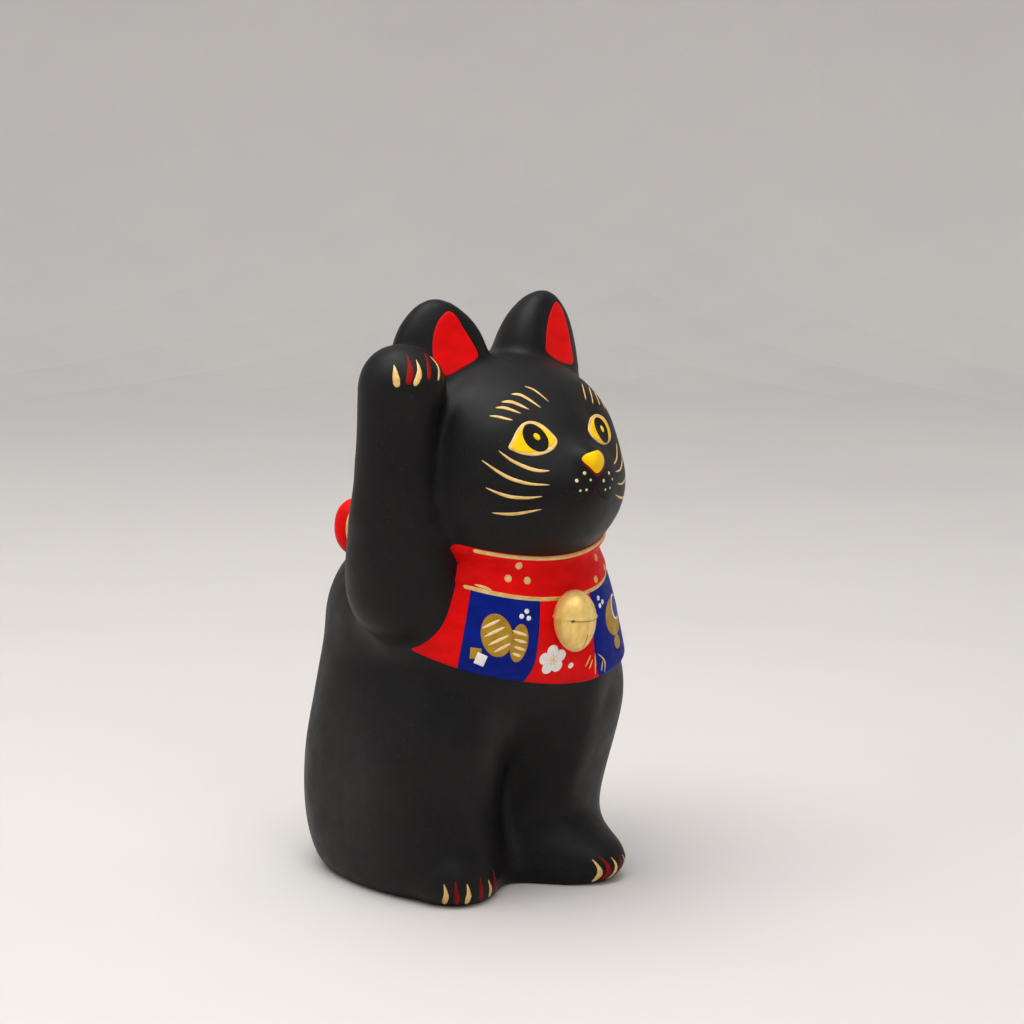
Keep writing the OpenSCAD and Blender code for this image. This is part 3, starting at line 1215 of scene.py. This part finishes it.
class Claws:
    """Painted claws of the raised paw, the hind paw and the foreleg."""

    def build(self, ground: Ground) -> None:
        """Paint the claws.

        Args:
            ground: The clay.
        """
        raised = {
            GOLD_LINE: (
                ([(-51.9, 180.9), (-52.6, 177.7), (-52.9, 174.2)], 2.0),
                ([(-45.0, 182.2), (-46.0, 178.5), (-48.4, 174.6)], 2.0),
                ([(-37.4, 182.4), (-37.2, 179.4), (-39.8, 175.6)], 1.3),
            ),
            DARK_RED: (
                ([(-46.9, 183.6), (-48.3, 179.5), (-50.2, 174.9)], 2.2),
                ([(-39.5, 183.6), (-41.5, 180.6), (-43.6, 176.2)], 1.9),
                ([(-34.4, 181.2), (-34.6, 178.4), (-36.8, 175.6)], 1.5),
            ),
        }
        resting = {
            GOLD_LINE: (
                ([(-43.2, 9.2), (-42.6, 5.2), (-43.9, 1.3)], 2.4),
                ([(-35.4, 8.8), (-34.8, 5.0), (-35.8, 1.2)], 2.3),
                ([(-26.8, 8.0), (-25.6, 4.6), (-26.0, 1.4)], 1.9),
                ([(18.2, 9.4), (19.2, 5.2), (18.9, 1.3)], 1.9),
                ([(23.4, 9.4), (24.2, 5.2), (23.8, 1.3)], 1.7),
                ([(28.6, 9.0), (29.4, 5.2), (29.0, 1.5)], 1.6),
            ),
            DARK_RED: (
                ([(-39.4, 9.9), (-39.0, 5.6), (-39.2, 1.3)], 2.2),
                ([(-30.3, 9.8), (-30.0, 5.4), (-30.0, 1.4)], 2.1),
                ([(-23.8, 10.0), (-22.6, 5.6), (-22.8, 1.8)], 2.2),
                ([(20.3, 10.4), (21.6, 5.6), (21.3, 1.3)], 1.9),
                ([(25.9, 10.0), (26.8, 5.4), (26.4, 1.4)], 1.7),
            ),
        }
        paws = (("raised", Plan.FLAT, raised), ("resting", Plan.WRAPPED, resting))
        for finish, title in ((GOLD_LINE, "gold"), (DARK_RED, "red")):
            for place, plan, strokes in paws:
                film = Film(ground, plan)
                for points, width in strokes[finish]:
                    film.stroke(points, width, Tip.LEAF)
                film.piece(f"claws_{title}_{place}", finish)


@dataclass
class Bow:
    """Tied bow at the back of the neck."""

    loop_y: float = 32.0
    folds_z: float = 115.5
    creases: tuple[float, ...] = (-0.45, 0.1, 0.6)
    crease_half: float = 0.13
    crease_depth: float = 0.9
    edge: tuple[float, float, float] = (18.0, 28.0, 116.0)

    def folded(self, co: Vector) -> None:
        """Press soft folds into a loop.

        Args:
            co: A point of the loop, which is moved.
        """
        if co.y <= self.loop_y * MM:
            return
        out = abs(co.x) / MM - 9
        turn = math.atan2(co.z / MM - self.folds_z, max(out, 1.0))
        depth = 0.0
        for crease in self.creases:
            depth += math.exp(-(((turn - crease) / self.crease_half) ** 2))
        co.y -= self.crease_depth * MM * depth * math.exp(-(((out - 6) / 7) ** 2))

    def build(self, clay: Clay) -> None:
        """Build the bow.

        Args:
            clay: Gives the smoothed copies.
        """
        loops = []
        for side in ("right", "left"):
            loop = f"bow_loop_{side}"
            loops.append(clay.soft_copy(loop, f"{loop}_red", RED_PAINT, 0.7 * MM, 5, self.folded))
            clay.soft_copy(f"bow_end_{side}", f"bow_end_{side}_red", RED_PAINT, 0.5 * MM, 3)
        clay.soft_copy("bow_knot", "bow_knot_red", RED_PAINT, 0.6 * MM, 4)
        self.build_edges(loops)

    def build_edges(self, loops: Sequence[bpy.types.Object]) -> None:
        """Paint the gold edges of the loops.

        Args:
            loops: The loops.
        """
        bm = bmesh.new()
        x, y, z = self.edge
        for side, loop in zip((-1, 1), loops):
            ground = Ground([loop])
            ring = bmesh.new()
            bmesh.ops.create_grid(ring, x_segments=96, y_segments=4, size=1.0)
            for v in ring.verts:
                turn, across = math.pi * v.co.x, v.co.y
                out = Vector((math.cos(turn), 0, math.sin(turn)))
                middle = Vector((side * x * MM, (y + 0.6 * across) * MM, z * MM))
                v.co = ground.land(middle + out * 0.03, -out, (0.12 * (1 - across**4) - 0.03) * MM)
            bmesh.ops.remove_doubles(ring, verts=ring.verts[:], dist=WELD)
            bmesh.ops.solidify(ring, geom=ring.faces[:], thickness=0.2 * MM)
            append(bm, ring)
        make_piece("bow_gold_edges", bm, GOLD_LINE)


@dataclass
class Stopper:
    """Rubber stopper in the base."""

    profile: tuple[Point, ...] = (
        (0, 3.0), (10.4, 3.0), (10.8, 2.8), (11.0, 2.4), (11.0, 1.4), (11.2, 1.1), (11.6, 1.0),
        (18.4, 1.0), (18.8, 1.1), (19.0, 1.5), (19.0, 2.4), (18.8, 2.8), (18.4, 2.9), (16.0, 2.9),
        (15.6, 3.3), (15.6, 8.9), (15.4, 9.6), (14.9, 10.2), (14.2, 10.5), (0, 10.5),
    )

    def build(self) -> None:
        """Build the stopper."""
        bm = spun([(x * MM, 0, z * MM) for x, z in self.profile], 96, 1e-6)
        piece = make_piece("stopper_rubber", bm, RUBBER, PLUG)
        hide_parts("stopper")


@dataclass
class Studio:
    """Pale floor, soft lights and the camera."""

    floor_half: float = 3.6
    floor_cuts: int = 90
    flat_radius: float = 1.2
    sweep: float = 0.8
    target: tuple[float, float, float] = (0.0, 0.0, 0.1)
    lens: float = 91.4
    eye: tuple[float, float, float] = (-0.5434, -0.6768, 0.2840)
    pitch: float = 79.5
    heading: float = -40.0

    def build(self) -> None:
        """Set the studio up."""
        bm = bmesh.new()
        cuts = self.floor_cuts
        bmesh.ops.create_grid(bm, x_segments=cuts, y_segments=cuts, size=self.floor_half)
        for v in bm.verts:
            v.co.z = self.sweep * max(0.0, v.co.xy.length - self.flat_radius) ** 2
        mesh = bpy.data.meshes.new("floor")
        bm.to_mesh(mesh)
        bm.free()
        floor = bpy.data.objects.new("floor", mesh)
        bpy.context.scene.collection.objects.link(floor)
        mesh.materials.append(FLOOR.material())
        world = bpy.data.worlds.new("studio")
        bpy.context.scene.world = world
        world.use_nodes = True
        sky = world.node_tree.nodes["Background"]
        sky.inputs["Color"].default_value = (0.95, 0.97, 1.0, 1.0)
        sky.inputs["Strength"].default_value = 1.05
        self.light("overhead", (-0.25, 0.0, 1.0), self.target, 0.9, 9.0)
        self.light("left_side", (-1.1, 0.35, 0.7), self.target, 0.7, 1.5)
        self.light("front_key", (-0.2, -1.2, 1.1), (0.0, -0.02, 0.1), 0.6, 3.0)
        bpy.context.scene.view_settings.view_transform = "Standard"
        self.camera()

    def light(
        self, name: str, place: Sequence[float], target: Sequence[float], size: float, power: float,
    ) -> None:
        """Hang one soft light.

        Args:
            name: Its name.
            place: Where it hangs.
            target: What it faces.
            size: Width of its square face.
            power: Its power in watts.
        """
        data = bpy.data.lights.new(name, "AREA")
        data.size = size
        data.energy = power
        lamp = bpy.data.objects.new(name, data)
        lamp.location = place
        lamp.rotation_euler = (Vector(target) - Vector(place)).to_track_quat("-Z", "Y").to_euler()
        bpy.context.scene.collection.objects.link(lamp)

    def camera(self) -> None:
        """Stand the camera in its place."""
        data = bpy.data.cameras.new("camera")
        data.lens = self.lens
        data.sensor_width = 36.0
        eye = bpy.data.objects.new("camera", data)
        eye.location = self.eye
        eye.rotation_euler = (math.radians(self.pitch), 0.0, math.radians(self.heading))
        bpy.context.scene.collection.objects.link(eye)
        bpy.context.scene.camera = eye


def main() -> None:
    """Build every part in order."""
    logging.basicConfig(level=logging.INFO, format="%(message)s")
    Studio().build()
    clay = Clay()
    body, trunk = clay.build()
    bare, skin = Ground([trunk]), Ground([body])
    clay.soft_copy("tail", "tail_clay", BLACK_CLAY, 0.9 * MM, 8)
    band = NeckBand()
    band_piece = band.build(bare)
    bib = Bib(band)
    sheets = bib.build(bare)
    dressed = Ground([trunk, band_piece, *sheets])
    band.paint(dressed)
    bib.paint(dressed)
    bpy.data.objects.remove(trunk)
    Bell().build()
    Face().build(skin)
    Claws().build(skin)
    Bow().build(clay)
    Stopper().build()


if __name__ == "__main__":
    main()
